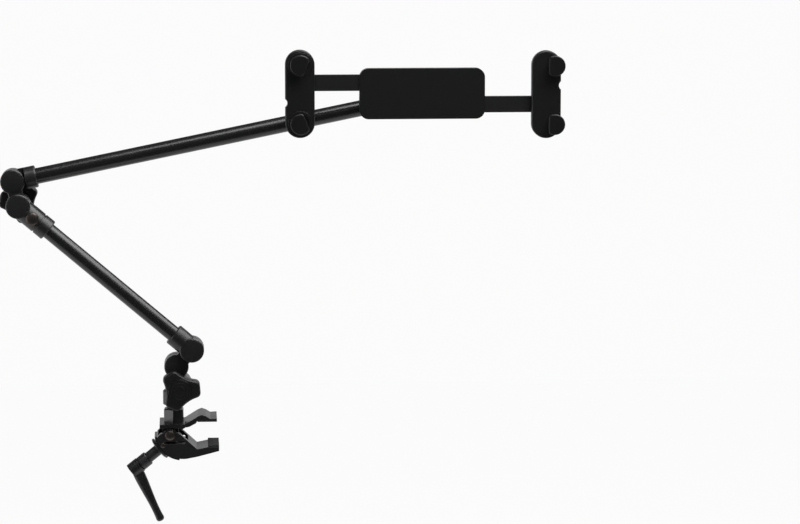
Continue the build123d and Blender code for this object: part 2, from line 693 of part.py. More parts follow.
def lower_sleeve_elbow():
    groove = across_plane(beside(ELBOW_AXIS, LOWER_BACK, GROOVE_PLACE), LOWER_PLANE, LOWER_BACK)
    fitting = tube_fitting(ELBOW_AXIS, LOWER_BACK, LOWER_PLANE, True, LONG_SLEEVE, "blind")
    with BuildPart() as piece:
        add(fitting.part)
        with BuildSketch(groove):
            Circle(SLEEVE_RADIUS + CUT_SPARE)
            Circle(SLEEVE_RADIUS - GROOVE_DEPTH, mode=Mode.SUBTRACT)
        extrude(amount=GROOVE_WIDTH, mode=Mode.SUBTRACT)
        bore(BOSS_PLANE, BOSS_RADIUS, BOSS_SINK + BOSS_HEIGHT)
    return piece


# Clamping ring on the end of the upper tube
def head_ring():
    start = beside(WRIST_AXIS, UPPER_ARM_ANGLE, UPPER_ARM_LENGTH - TUBE_END - HEAD_RING_LENGTH)
    with BuildPart() as ring:
        rod(across_plane(start, UPPER_PLANE, UPPER_ARM_ANGLE), HEAD_RING_RADIUS, HEAD_RING_LENGTH)
        chamfer(ring.edges(), HEAD_RING_EDGE)
        bore(across_plane(start, UPPER_PLANE, UPPER_ARM_ANGLE), TUBE_RADIUS, HEAD_RING_LENGTH)
    return ring


# Plane with its normal along the hinge pin of the head and its x along the upper tube
def pin_plane():
    along = beside((0, 0), UPPER_ARM_ANGLE, 1.0)
    up = beside((0, 0), UPPER_ARM_ANGLE + 90.0, 1.0)
    centre = (HEAD_AXIS[0], UPPER_PLANE, HEAD_AXIS[1])
    return Plane(origin=centre, x_dir=(along[0], 0, along[1]), z_dir=(up[0], 0, up[1]))


# Swivel in the tube's end: a spigot, a collar and two cheeks for the hinge pin
def head_fork():
    tube_end = beside(HEAD_AXIS, UPPER_ARM_ANGLE, -TUBE_END)
    collar_start = beside(HEAD_AXIS, UPPER_ARM_ANGLE, FACE_GAP - TUBE_END)
    cheek_start = LUG_WIDTH / 2 + FACE_GAP
    reach = TUBE_END - HEAD_COLLAR
    with BuildPart() as fork:
        rod(across_plane(collar_start, UPPER_PLANE, UPPER_ARM_ANGLE), HEAD_COLLAR_RADIUS, HEAD_COLLAR)
        chamfer(fork.edges(), HEAD_RING_EDGE)
        spigot = across_plane(tube_end, UPPER_PLANE, UPPER_ARM_ANGLE).offset(FACE_GAP - SPIGOT_LENGTH)
        rod(spigot, TUBE_RADIUS - TUBE_WALL - RUNNING_FIT, SPIGOT_LENGTH)
        for side in (cheek_start, -cheek_start - FORK_CHEEK):
            with BuildSketch(pin_plane().offset(side)):
                Circle(FORK_RADIUS)
                with Locations((-reach, 0)):
                    Rectangle(reach, 2 * FORK_RADIUS, align=(Align.MIN, Align.CENTER))
            extrude(amount=FORK_CHEEK)
        bore(pin_plane().offset(-LUG_WIDTH), LUG_PIN_RADIUS, 2 * LUG_WIDTH)
    return fork


def head_pin():
    length = 2 * (LUG_WIDTH / 2 + FACE_GAP + FORK_CHEEK)
    with BuildPart() as pin:
        rod(pin_plane().offset(-length / 2), LUG_PIN_RADIUS, length)
        chamfer(pin.edges(), HEAD_RING_EDGE / 2)
    return pin


# Lug on the hinge pin, with the disc and hub on which the holder turns
def head_lug():
    with BuildPart() as lug:
        with BuildSketch(pin_plane().offset(-LUG_WIDTH / 2)):
            Circle(LUG_RADIUS)
        extrude(amount=LUG_WIDTH)
        disc_back = HOUSING_BACK + HEAD_DISC
        with BuildSketch(side_plane(HEAD_AXIS, UPPER_PLANE, UPPER_ARM_ANGLE)):
            Rectangle(LUG_NECK, LUG_WIDTH)
        extrude(amount=UPPER_PLANE - disc_back)
        rod(side_plane(HEAD_AXIS, disc_back), HEAD_DISC_RADIUS, HEAD_DISC - FACE_GAP)
        fillet(lug.edges().filter_by(GeomType.CIRCLE).sort_by(SortBy.RADIUS)[-2:], HEAD_DISC_EDGE)
        rod(side_plane(HEAD_AXIS, HOUSING_BACK + FACE_GAP), HEAD_HUB_RADIUS, HEAD_HUB_LENGTH)
        bore(pin_plane().offset(-LUG_WIDTH), LUG_PIN_RADIUS + RUNNING_FIT, 2 * LUG_WIDTH)
    return lug


# Housing with two lanes, one for each slide
def holder_housing():
    centre = (HEAD_AXIS[0], HOLDER_Z)
    with BuildPart() as housing:
        with BuildSketch(side_plane(centre, HOUSING_BACK)):
            RectangleRounded(HOUSING_LENGTH, HOUSING_HEIGHT, HOUSING_CORNER)
        extrude(amount=HOUSING_THICKNESS)
        ends = housing.faces().sort_by(Axis.Y)
        fillet(ends[-1].edges(), HOUSING_EDGE)
        lane_back = BRACKET_BACK + SLIDE_DEPTH + SLIDE_THICKNESS + SLIDE_FIT
        with BuildSketch(side_plane(centre, lane_back)):
            with Locations((0, SLIDE_LANE), (0, -SLIDE_LANE)):
                Rectangle(HOUSING_LENGTH + HOUSING_HEIGHT, SLIDE_HEIGHT + 2 * SLIDE_FIT)
        extrude(amount=SLIDE_THICKNESS + 2 * SLIDE_FIT, mode=Mode.SUBTRACT)
        bore(side_plane(HEAD_AXIS, HOUSING_BACK), HEAD_HUB_RADIUS + RUNNING_FIT, HEAD_HUB_LENGTH)
    return housing


# Slide bar from a bracket into its lane, with a foot behind the bracket
def slide_bar(bracket_x, side, lane):
    inner = HEAD_AXIS[0] + side * (HOUSING_LENGTH / 2 - SLIDE_INSIDE)
    length = abs(bracket_x - inner)
    bar_back = BRACKET_BACK + SLIDE_DEPTH + SLIDE_THICKNESS
    place = (bracket_x, HOLDER_Z + lane)
    inward = Align.MAX if side > 0 else Align.MIN
    with BuildPart() as bar:
        with BuildSketch(side_plane(place, bar_back)):
            Rectangle(length, SLIDE_HEIGHT, align=(inward, Align.CENTER))
            Rectangle(SLIDE_FOOT, SLIDE_HEIGHT)
        extrude(amount=SLIDE_THICKNESS)
        with BuildSketch(side_plane(place, BRACKET_BACK + SLIDE_DEPTH)):
            Rectangle(SLIDE_FOOT, SLIDE_HEIGHT)
        extrude(amount=SLIDE_DEPTH)
    return bar


# Bracket plate: a stadium with a thumb notch in its outer edge and a seat for each grip
def bracket(centre, side, grips, notch_z, bosses):
    edge = centre[0] + side * BRACKET_RADIUS
    with BuildPart() as plate:
        with BuildSketch(side_plane(centre, BRACKET_BACK)):
            SlotCenterToCenter(BRACKET_PITCH, 2 * BRACKET_RADIUS, rotation=90)
        extrude(amount=BRACKET_THICKNESS)
        fillet(plate.faces().sort_by(Axis.Y)[0].edges(), BRACKET_EDGE)
        with BuildSketch(side_plane((edge, notch_z), BRACKET_BACK)):
            with Locations((side * (BRACKET_NOTCH_RADIUS - BRACKET_NOTCH_DEPTH), 0)):
                Circle(BRACKET_NOTCH_RADIUS)
        extrude(amount=BRACKET_THICKNESS, mode=Mode.SUBTRACT)
        for grip in grips:
            if bosses:
                rod(side_plane(grip, BRACKET_FRONT), GRIP_BOSS_RADIUS, GRIP_BOSS_HEIGHT)
                bore(side_plane(grip, BRACKET_FRONT), GRIP_CORE_RADIUS, GRIP_BOSS_HEIGHT)
            bore(side_plane(grip, BRACKET_BACK), GRIP_NUT_RADIUS + RUNNING_FIT, GRIP_NUT_HEIGHT + FACE_GAP)
            bore(side_plane(grip, BRACKET_BACK), GRIP_STEM_RADIUS + RUNNING_FIT, BRACKET_THICKNESS)
    return plate


# Core of a grip, fixed on the bracket, with a flat for the tablet's edge
def grip_core(grip, side):
    with BuildPart() as core:
        with BuildSketch(side_plane(grip, BRACKET_FRONT)):
            Circle(GRIP_CORE_RADIUS)
            with Locations((-side * GRIP_CORE_FLAT, 0)):
                size = 2 * GRIP_CORE_RADIUS
                inward = Align.MAX if side > 0 else Align.MIN
                Rectangle(size, size, align=(inward, Align.CENTER), mode=Mode.SUBTRACT)
        extrude(amount=TABLET_GAP)
        bore(side_plane(grip, BRACKET_FRONT), GRIP_STEM_RADIUS + RUNNING_FIT, TABLET_GAP)
    return core


# Cap of a grip: a disc with one flat that turns over the tablet's edge, and its stem
def grip_cap(grip, flat_angle):
    with BuildPart() as cap:
        with BuildSketch(side_plane(grip, CAP_BACK - FACE_GAP, flat_angle)) as outline:
            Circle(GRIP_CAP_RADIUS)
            with Locations((GRIP_CAP_FLAT, 0)):
                size = 2 * GRIP_CAP_RADIUS
                Rectangle(size, size, align=(Align.MIN, Align.CENTER), mode=Mode.SUBTRACT)
            fillet(outline.vertices(), GRIP_CAP_CORNER)
        extrude(amount=GRIP_CAP_THICKNESS)
        fillet(cap.faces().sort_by(Axis.Y)[0].edges(), GRIP_CAP_EDGE)
        stem_back = BRACKET_BACK
        rod(side_plane(grip, stem_back), GRIP_STEM_RADIUS, stem_back - CAP_BACK + FACE_GAP)
        bore(side_plane(grip, stem_back), GRIP_STEM_CORE, GRIP_NUT_HEIGHT)
    return cap


# Round nut on a stem, sunk in the back of the bracket
def grip_nut(grip):
    with BuildPart() as nut:
        with BuildSketch(side_plane(grip, BRACKET_BACK)):
            Circle(GRIP_NUT_RADIUS)
            Circle(GRIP_STEM_RADIUS, mode=Mode.SUBTRACT)
        extrude(amount=GRIP_NUT_HEIGHT)
    return nut


def build_clamp():
    save(clamp_frame(), "clamp_frame")
    save(clamp_pad(), "clamp_pad")
    save(clamp_nut(), "clamp_nut")
    save(jaw_pin(), "jaw_pin")
    save(post_collar(), "post_collar")
    save(lower_jaw(), "lower_jaw")
    save(jaw_pad(), "jaw_pad")
    save(jaw_rivets(), "jaw_rivets")
    save(thrust_washer(), "thrust_washer")
    save(spindle(), "spindle")
    save(spindle_ferrule(), "spindle_ferrule")
    save(lever_handle(), "lever_handle")
    save(lever_screw(), "lever_screw")


def build_shoulder():
    knob_plane = side_plane(KNOB_AXIS, LINK_SPLIT + HALF_SPLIT - FACE_GAP, SHOULDER_KNOB_TURN)
    save(post(), "post")
    save(shoulder_stud(knob_plane), "shoulder_stud")
    save(washer(KNOB_AXIS, POST_SPLIT), "post_washer")
    save(link(KNOB_AXIS, LINK_AXIS, POST_SPLIT - HALF_SPLIT, "through", "sunk"), "shoulder_link")
    save(star_knob(knob_plane), "shoulder_knob")
    save(knob_face(knob_plane), "shoulder_knob_face")
    save(knob_insert(knob_plane), "shoulder_knob_insert")
    save(link(LINK_AXIS, SHOULDER_AXIS, LINK_SPLIT - HALF_SPLIT, "blind", "sunk"), "knuckle")
    save(pivot_bolt(LINK_AXIS, LINK_SPLIT), "link_bolt")
    save(washer(LINK_AXIS, LINK_SPLIT), "link_washer")
    save(pivot_bolt(SHOULDER_AXIS, LOWER_PLANE), "shoulder_bolt")
    save(washer(SHOULDER_AXIS, LOWER_PLANE), "shoulder_washer")


def build_arms():
    knob_plane = back_plane(ELBOW_AXIS, LINK_SPLIT - HALF_SPLIT + FACE_GAP, ELBOW_KNOB_TURN)
    lower_sleeve = tube_fitting(SHOULDER_AXIS, LOWER_ARM_ANGLE, LOWER_PLANE, True, SHORT_SLEEVE, "blind")
    save(lower_sleeve, "lower_sleeve_shoulder")
    save(lower_sleeve_elbow(), "lower_sleeve_elbow")
    lower_start = beside(SHOULDER_AXIS, LOWER_ARM_ANGLE, TUBE_SEAT)
    lower_length = LOWER_ARM_LENGTH - 2 * TUBE_SEAT
    save(arm_tube(lower_start, LOWER_ARM_ANGLE, LOWER_PLANE, lower_length), "lower_tube")
    save(sleeve_boss(), "sleeve_boss")
    save(elbow_stud(knob_plane), "elbow_stud")
    save(washer(ELBOW_AXIS, LOWER_PLANE), "elbow_washer")
    save(link(ELBOW_AXIS, WRIST_AXIS, LINK_SPLIT - HALF_SPLIT, "through", "blind"), "elbow_link")
    save(star_knob(knob_plane), "elbow_knob")
    save(knob_face(knob_plane), "elbow_knob_face")
    save(knob_insert(knob_plane), "elbow_knob_insert")
    save(pivot_bolt(WRIST_AXIS, LINK_SPLIT), "wrist_bolt")
    save(washer(WRIST_AXIS, LINK_SPLIT), "wrist_washer")
    upper_sleeve = tube_fitting(WRIST_AXIS, UPPER_ARM_ANGLE, UPPER_PLANE, False, SHORT_SLEEVE, "sunk")
    save(upper_sleeve, "upper_sleeve")
    upper_start = beside(WRIST_AXIS, UPPER_ARM_ANGLE, TUBE_SEAT)
    upper_length = UPPER_ARM_LENGTH - TUBE_END - TUBE_SEAT
    save(arm_tube(upper_start, UPPER_ARM_ANGLE, UPPER_PLANE, upper_length), "upper_tube")
    save(head_ring(), "head_ring")


def build_holder():
    left = (LEFT_X, LEFT_Z)
    right = (RIGHT_X, RIGHT_Z)
    half = BRACKET_PITCH / 2
    left_x = LEFT_EDGE + LEFT_GRIP_INSET
    right_x = RIGHT_EDGE - RIGHT_GRIP_INSET
    left_grips = ((left_x, LEFT_Z + half), (left_x, LEFT_Z - half))
    right_grips = ((right_x, RIGHT_Z + half), (right_x, RIGHT_Z - half))
    save(head_fork(), "head_fork")
    save(head_pin(), "head_pin")
    save(head_lug(), "head_lug")
    save(holder_housing(), "holder_housing")
    save(slide_bar(LEFT_X, -1, SLIDE_LANE), "left_slide")
    save(slide_bar(RIGHT_X, 1, -SLIDE_LANE), "right_slide")
    save(bracket(left, -1, left_grips, LEFT_Z - BRACKET_NOTCH_OFFSET, True), "left_bracket")
    save(bracket(right, 1, right_grips, RIGHT_Z + BRACKET_NOTCH_OFFSET, False), "right_bracket")
    for name, grip, side, flat in (
        ("left_top", left_grips[0], -1, -GRIP_TURN),
        ("left_bottom", left_grips[1], -1, GRIP_TURN),
        ("right_top", right_grips[0], 1, 180.0),
        ("right_bottom", right_grips[1], 1, 180.0),
    ):
        save(grip_core(grip, side), f"{name}_core")
        save(grip_cap(grip, flat), f"{name}_cap")
        save(grip_nut(grip), f"{name}_nut")


def main():
    os.makedirs("parts", exist_ok=True)
    build_clamp()
    build_shoulder()
    build_arms()
    build_holder()


main()
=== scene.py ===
import json
import math

import bmesh
import bpy
from bpy.props import FloatProperty, FloatVectorProperty, IntProperty, PointerProperty
from mathutils import Matrix, Vector

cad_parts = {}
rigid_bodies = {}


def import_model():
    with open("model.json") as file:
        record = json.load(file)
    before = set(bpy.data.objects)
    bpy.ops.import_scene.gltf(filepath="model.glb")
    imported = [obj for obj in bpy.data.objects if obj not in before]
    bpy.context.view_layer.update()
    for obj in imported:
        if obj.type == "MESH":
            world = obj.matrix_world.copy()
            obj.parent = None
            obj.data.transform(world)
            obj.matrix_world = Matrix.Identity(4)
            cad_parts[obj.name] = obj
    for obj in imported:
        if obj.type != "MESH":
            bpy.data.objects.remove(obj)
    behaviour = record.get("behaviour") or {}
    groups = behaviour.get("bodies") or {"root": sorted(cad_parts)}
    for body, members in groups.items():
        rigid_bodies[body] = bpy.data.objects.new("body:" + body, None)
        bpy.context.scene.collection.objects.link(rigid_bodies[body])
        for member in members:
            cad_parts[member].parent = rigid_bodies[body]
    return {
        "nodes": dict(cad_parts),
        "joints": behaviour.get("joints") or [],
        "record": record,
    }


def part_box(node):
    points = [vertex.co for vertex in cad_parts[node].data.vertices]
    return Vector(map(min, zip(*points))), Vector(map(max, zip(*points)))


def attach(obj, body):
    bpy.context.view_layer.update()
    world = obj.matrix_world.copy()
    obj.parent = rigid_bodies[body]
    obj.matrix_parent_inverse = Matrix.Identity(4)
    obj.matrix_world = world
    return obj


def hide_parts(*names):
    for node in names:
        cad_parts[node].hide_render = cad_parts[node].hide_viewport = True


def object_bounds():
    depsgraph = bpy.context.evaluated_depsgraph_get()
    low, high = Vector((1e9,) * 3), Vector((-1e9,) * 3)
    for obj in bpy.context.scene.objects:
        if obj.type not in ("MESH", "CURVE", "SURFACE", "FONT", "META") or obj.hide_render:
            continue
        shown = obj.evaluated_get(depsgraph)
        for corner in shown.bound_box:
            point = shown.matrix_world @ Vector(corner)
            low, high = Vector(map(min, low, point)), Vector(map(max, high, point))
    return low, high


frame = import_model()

bl_info = {
    "name": "Tablet Arm Builder",
    "version": (1, 0, 0),
    "blender": (4, 5, 0),
    "location": "View3D > Sidebar > Tablet Arm",
    "description": "Dresses the clamp-on tablet arm and sets its studio",
    "category": "Object",
}

CAD_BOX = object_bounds()
MM = 0.001
WHITE = (1.0, 1.0, 1.0, 1.0)

# A piece faces the front, along -Y, or the back, along Y
FRONT, BACK = -1.0, 1.0


# Shader maths


class Wire:
    """An output socket whose sums, differences and products add Math nodes."""

    def __init__(self, graph, socket):
        self.graph = graph
        self.socket = socket

    def _math(self, operation, *values):
        settings = {"operation": operation}
        return self.graph.wire("ShaderNodeMath", settings, dict(enumerate(values)))

    def __add__(self, other):
        return self._math("ADD", self, other)

    __radd__ = __add__

    def __sub__(self, other):
        return self._math("SUBTRACT", self, other)

    def __rsub__(self, other):
        return self._math("SUBTRACT", other, self)

    def __mul__(self, other):
        return self._math("MULTIPLY", self, other)

    __rmul__ = __mul__

    def between(self, low, high):
        """Runs from 0 at low to 1 at high, and stays within them."""
        settings = {"interpolation_type": "SMOOTHSTEP"}
        values = {"Value": self, "From Min": low, "From Max": high}
        return self.graph.wire("ShaderNodeMapRange", settings, values, "Result")


class Graph:
    """A node tree, emptied, with one way to add its nodes."""

    def __init__(self, tree):
        self.tree = tree
        self.tree.nodes.clear()

    def add(self, kind, settings=None, inputs=None):
        """Adds a node of a kind with its settings and the values or links of its sockets."""
        node = self.tree.nodes.new(kind)
        for key, value in (settings or {}).items():
            setattr(node, key, value)
        for key, value in (inputs or {}).items():
            if isinstance(value, Wire):
                self.tree.links.new(value.socket, node.inputs[key])
            else:
                node.inputs[key].default_value = value
        return node

    def wire(self, kind, settings=None, inputs=None, output=0):
        """Adds a node and gives one of its outputs."""
        return Wire(self, self.add(kind, settings, inputs).outputs[output])

    def rays(self, *kinds):
        """Masks that are 1 for each of these kinds of ray."""
        path = self.add("ShaderNodeLightPath")
        return [Wire(self, path.outputs[f"Is {kind} Ray"]) for kind in kinds]


class Shader(Graph):
    """One material, whose patterns keep to the piece's own coordinates."""

    def __init__(self, name):
        self.material = bpy.data.materials.new(name)
        self.material.use_nodes = True
        super().__init__(self.material.node_tree)
        self.place = self.wire("ShaderNodeTexCoord", output="Object")

    def noise(self, size, detail=2.0, roughness=0.5, stretch=(1.0, 1.0, 1.0)):
        """Noise whose lumps are about a size in metres, stretched along the axes."""
        scale = [1.0 / (size * factor) for factor in stretch]
        vector = self.wire("ShaderNodeMapping", {}, {"Vector": self.place, "Scale": scale})
        values = {"Vector": vector, "Scale": 1.0, "Detail": detail, "Roughness": roughness}
        return self.wire("ShaderNodeTexNoise", {}, values)

    def mix_colour(self, factor, first, second):
        """Mixes two colours by a factor."""
        settings = {"data_type": "RGBA", "blend_type": "MIX"}
        return self.wire("ShaderNodeMix", settings, {0: factor, 6: first, 7: second}, 2)

    def rounded(self, radius):
        """Normal of the surface with its edges rounded, and a mask of those edges."""
        normal = self.wire("ShaderNodeBevel", {"samples": 4}, {"Radius": radius})
        flat = self.wire("ShaderNodeNewGeometry", output="Normal")
        settings = {"operation": "DOT_PRODUCT"}
        agreement = self.wire("ShaderNodeVectorMath", settings, {0: normal, 1: flat}, "Value")
        return normal, (1.0 - agreement).between(0.01, 0.16)

    def bump(self, height, depth, normal):
        """Normal with a pattern laid over it, its full height given as a depth in metres."""
        values = {"Height": height, "Distance": depth, "Strength": 1.0, "Normal": normal}
        return self.wire("ShaderNodeBump", {}, values)

    def finish(self, surface):
        """Ends the material in a shader and gives the material."""
        self.add("ShaderNodeOutputMaterial", {}, {"Surface": surface})
        return self.material

    def surface(self, **sockets):
        """Ends the material in a Principled shader with these sockets."""
        values = {key.replace("_", " "): value for key, value in sockets.items()}
        return self.finish(self.wire("ShaderNodeBsdfPrincipled", {}, values))


def shade(colour, factor):
    """A colour made lighter or darker."""
    return (colour[0] * factor, colour[1] * factor, colour[2] * factor, 1.0)


def satin_paint(name, colour, roughness, peel, corner=0.5 * MM):
    """Baked satin paint: faint orange peel, cloudy gloss and slightly worn edges."""
    cloud_size, grain_size, scuff_size = 22 * MM, 0.8 * MM, 5 * MM
    shader = Shader(name)
    normal, edge = shader.rounded(corner)
    clouds = shader.noise(cloud_size, 3.0)
    grain = shader.noise(grain_size)
    scuffs = shader.noise(scuff_size, 5.0, 0.65)
    worn = edge * scuffs.between(0.42, 0.7)
    base = shader.mix_colour(clouds, shade(colour, 0.85), shade(colour, 1.2))
    base = shader.mix_colour(worn * 0.55, base, shade(colour, 3.2))
    return shader.surface(
        Base_Color=base,
        Roughness=roughness + (clouds - 0.5) * 0.12 + (grain - 0.5) * 0.08 - worn * 0.08,
        Normal=shader.bump(grain, peel, normal),
        Specular_IOR_Level=0.5,
    )


def moulded_plastic(name, colour, roughness, texture, corner=0.45 * MM):
    """Moulded plastic with a fine spark-eroded texture and polished corners, whose rounded edges
    are also painted lighter as a highlight.
    """
    cloud_size, pit_size = 14 * MM, 0.45 * MM
    shader = Shader(name)
    normal, edge = shader.rounded(corner)
    clouds = shader.noise(cloud_size)
    pits = shader.noise(pit_size, 3.0, 0.6)
    base = shader.mix_colour(clouds, shade(colour, 0.9), shade(colour, 1.12))
    # Painted highlight: every rounded edge is painted lighter, as if it caught the light
    base = shader.mix_colour(edge * 0.35, base, shade(colour, 2.0))
    return shader.surface(
        Base_Color=base,
        Roughness=roughness + (pits - 0.5) * 0.16 - edge * 0.1,
        Normal=shader.bump(pits, texture, normal),
        Specular_IOR_Level=0.32,
    )


def soft_rubber(name, colour):
    """Matt rubber with a dusty bloom."""
    corner, dust_size, pore_size, pore_depth = 0.35 * MM, 3 * MM, 0.35 * MM, 0.02 * MM
    shader = Shader(name)
    normal, edge = shader.rounded(corner)
    dust = shader.noise(dust_size, 5.0, 0.6)
    pores = shader.noise(pore_size)
    base = shader.mix_colour(dust.between(0.45, 0.8), shade(colour, 0.9), shade(colour, 1.7))
    base = shader.mix_colour(edge * 0.25, base, shade(colour, 2.2))
    return shader.surface(
        Base_Color=base,
        Roughness=0.78 + (pores - 0.5) * 0.15,
        Normal=shader.bump(pores, pore_depth, normal),
        Specular_IOR_Level=0.3,
    )


def turned_metal(name, colour, roughness, coated):
    """Turned metal, bare or coated, with fine tool marks."""
    corner, mark_size, mark_depth, stain_size = 0.25 * MM, 0.3 * MM, 0.008 * MM, 6 * MM
    shader = Shader(name)
    normal, edge = shader.rounded(corner)
    marks = shader.noise(mark_size, stretch=(1.0, 6.0, 1.0))
    stain = shader.noise(stain_size, 4.0, 0.6)
    base = shader.mix_colour(stain, shade(colour, 0.8), shade(colour, 1.15))
    base = shader.mix_colour(edge * 0.5, base, shade(colour, 1.6))
    return shader.surface(
        Base_Color=base,
        Metallic=0.0 if coated else 1.0,
        Roughness=roughness + (marks - 0.5) * 0.14 + (stain - 0.5) * 0.1,
        Normal=shader.bump(marks, mark_depth, normal),
        Specular_IOR_Level=0.5,
    )


# Modelling helpers


def deselect_all():
    """Leaves nothing selected or active."""
    if bpy.context.object and bpy.context.object.mode != "OBJECT":
        bpy.ops.object.mode_set(mode="OBJECT")
    for thing in bpy.context.view_layer.objects:
        thing.select_set(False)
    bpy.context.view_layer.objects.active = None


def select_only(piece):
    """Selects one piece and makes it the active one."""
    deselect_all()
    piece.select_set(True)
    bpy.context.view_layer.objects.active = piece


def select_faces(piece, test):
    """In edit mode, selects only the faces whose normal passes a test."""
    mesh = bmesh.from_edit_mesh(piece.data)
    bpy.ops.mesh.select_mode(type="FACE")
    # All go off first, because a face that goes off takes the edges that it shares along
    for face in mesh.faces:
        face.select_set(False)
    for face in mesh.faces:
        if test(face.normal):
            face.select_set(True)
    mesh.select_flush(True)
    bmesh.update_edit_mesh(piece.data)


def select_corners(piece, test):
    """In edit mode, selects only the vertices whose place passes a test."""
    mesh = bmesh.from_edit_mesh(piece.data)
    bpy.ops.mesh.select_mode(type="VERT")
    for corner in mesh.verts:
        corner.select_set(test(corner.co))
    bmesh.update_edit_mesh(piece.data)


def looks_up(normal):
    """Test for select_faces: the face looks along Z."""
    return normal.z > 0.9


def looks_down(normal):
    """Test for select_faces: the face looks against Z."""
    return normal.z < -0.9


def smooth(piece, angle):
    """Shades a piece smooth, but for its edges sharper than an angle in degrees."""
    select_only(piece)
    bpy.ops.object.shade_smooth_by_angle(angle=math.radians(angle))


def apply_modifier(piece, kind, **settings):
    """Puts a modifier with these settings on a piece and applies it."""
    modifier = piece.modifiers.new("shape", kind)
    for key, value in settings.items():
        setattr(modifier, key, value)
    select_only(piece)
    bpy.ops.object.modifier_apply(modifier=modifier.name)


def merge_points(piece):
    """Merges the points that a cut has left twice in one place."""
    select_only(piece)
    bpy.ops.object.mode_set(mode="EDIT")
    bpy.ops.mesh.select_all(action="SELECT")
    bpy.ops.mesh.remove_doubles(threshold=0.001 * MM)
    bpy.ops.object.mode_set(mode="OBJECT")


def bevel_edges(piece, width, segments, angle=40.0):
    """Rounds the edges of a piece that are sharper than an angle in degrees."""
    apply_modifier(
        piece, "BEVEL", width=width, segments=segments,
        limit_method="ANGLE", angle_limit=math.radians(angle),
    )
    smooth(piece, 35.0)


def name_primitive(name):
    """Names the primitive just added, and moves its place into its mesh."""
    piece = bpy.context.object
    piece.name = name
    piece.data.name = name
    bpy.ops.object.transform_apply(location=True, rotation=True, scale=True)
    return piece


def add_cylinder(name, radius, depth, sides):
    """A closed cylinder about the Z axis, with its lower end at the origin."""
    deselect_all()
    bpy.ops.mesh.primitive_cylinder_add(
        vertices=sides, radius=radius, depth=depth,
        location=(0, 0, depth / 2), end_fill_type="NGON",
    )
    return name_primitive(name)


def step_in(inset, lift):
    """Insets the selected faces and moves what is left of them along Z."""
    bpy.ops.mesh.inset(thickness=inset)
    bpy.ops.transform.translate(value=(0, 0, lift))


def roll_over(run, rise, steps):
    """Rounds the edge of the selected flat face, which shrinks by run as it climbs by rise."""
    shrunk = climbed = 0.0
    for step in range(1, steps + 1):
        angle = step / steps * math.pi / 2
        inwards, upwards = run * (1 - math.cos(angle)), rise * math.sin(angle)
        step_in(inwards - shrunk, upwards - climbed)
        shrunk, climbed = inwards, upwards


def domed_head(name, radius, skirt, rise, roundness=2.0):
    """Round head with a straight skirt and a low dome, the skirt's foot at the origin."""
    sides, rings = 64, 12
    head = add_cylinder(name, radius, skirt, sides)
    bpy.ops.object.mode_set(mode="EDIT")
    select_faces(head, looks_up)
    climbed = 0.0
    for ring in range(1, rings):
        upwards = rise * (1 - (1 - ring / rings) ** roundness)
        step_in(radius / rings, upwards - climbed)
        climbed = upwards
    bpy.ops.object.mode_set(mode="OBJECT")
    smooth(head, 35.0)
    return head


def settle(piece, place, side, body, slot, turn=0.0):
    """Moves a mesh to its place, its Z to the front or back, and hangs the piece on a body."""
    spin = Matrix.Rotation(turn, 4, "Z")
    lean = Vector((0, side, 0)).to_track_quat("Z", "Y").to_matrix().to_4x4()
    piece.data.transform(Matrix.Translation(place) @ lean @ spin)
    piece.data.update()
    piece.data.materials.clear()
    piece.data.materials.append(FINISHES[slot])
    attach(piece, body)


# Places of the CAD nodes and joints


def centre_of(node):
    """Middle of a CAD node's box."""
    low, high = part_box(node)
    return (Vector(low) + Vector(high)) / 2


def radius_of(node):
    """Radius of a round CAD node that lies along Y."""
    low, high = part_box(node)
    return (high[0] - low[0]) / 2


def end_of(node, side):
    """Y of a CAD node's front or back end."""
    low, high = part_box(node)
    return low[1] if side == FRONT else high[1]


def joint_point(name):
    """Point of a joint's axis in the frame."""
    joint = next(entry for entry in frame["joints"] if entry["name"] == name)
    return Vector(joint["pos_m"])


# Settings


class ArmFinishes(bpy.types.PropertyGroup):
    """Colours of the arm"""

    paint: FloatVectorProperty(
        name="Paint", description="Colour of the painted tubes and castings",
        subtype="COLOR", default=(0.0052, 0.0052, 0.0056),
    )
    plastic: FloatVectorProperty(
        name="Plastic", description="Colour of the knobs, brackets and caps",
        subtype="COLOR", default=(0.0036, 0.0036, 0.0039),
    )
    disc: FloatVectorProperty(
        name="Knob discs", description="Colour of the discs in the knobs",
        subtype="COLOR", default=(0.0045, 0.0045, 0.0048),
    )
    rubber: FloatVectorProperty(
        name="Rubber", description="Colour of the pads and grip cores",
        subtype="COLOR", default=(0.0075, 0.0075, 0.0078),
    )
    steel: FloatVectorProperty(
        name="Pin steel", description="Colour of the jaw's pin and rivets",
        subtype="COLOR", default=(0.1, 0.088, 0.08),
    )


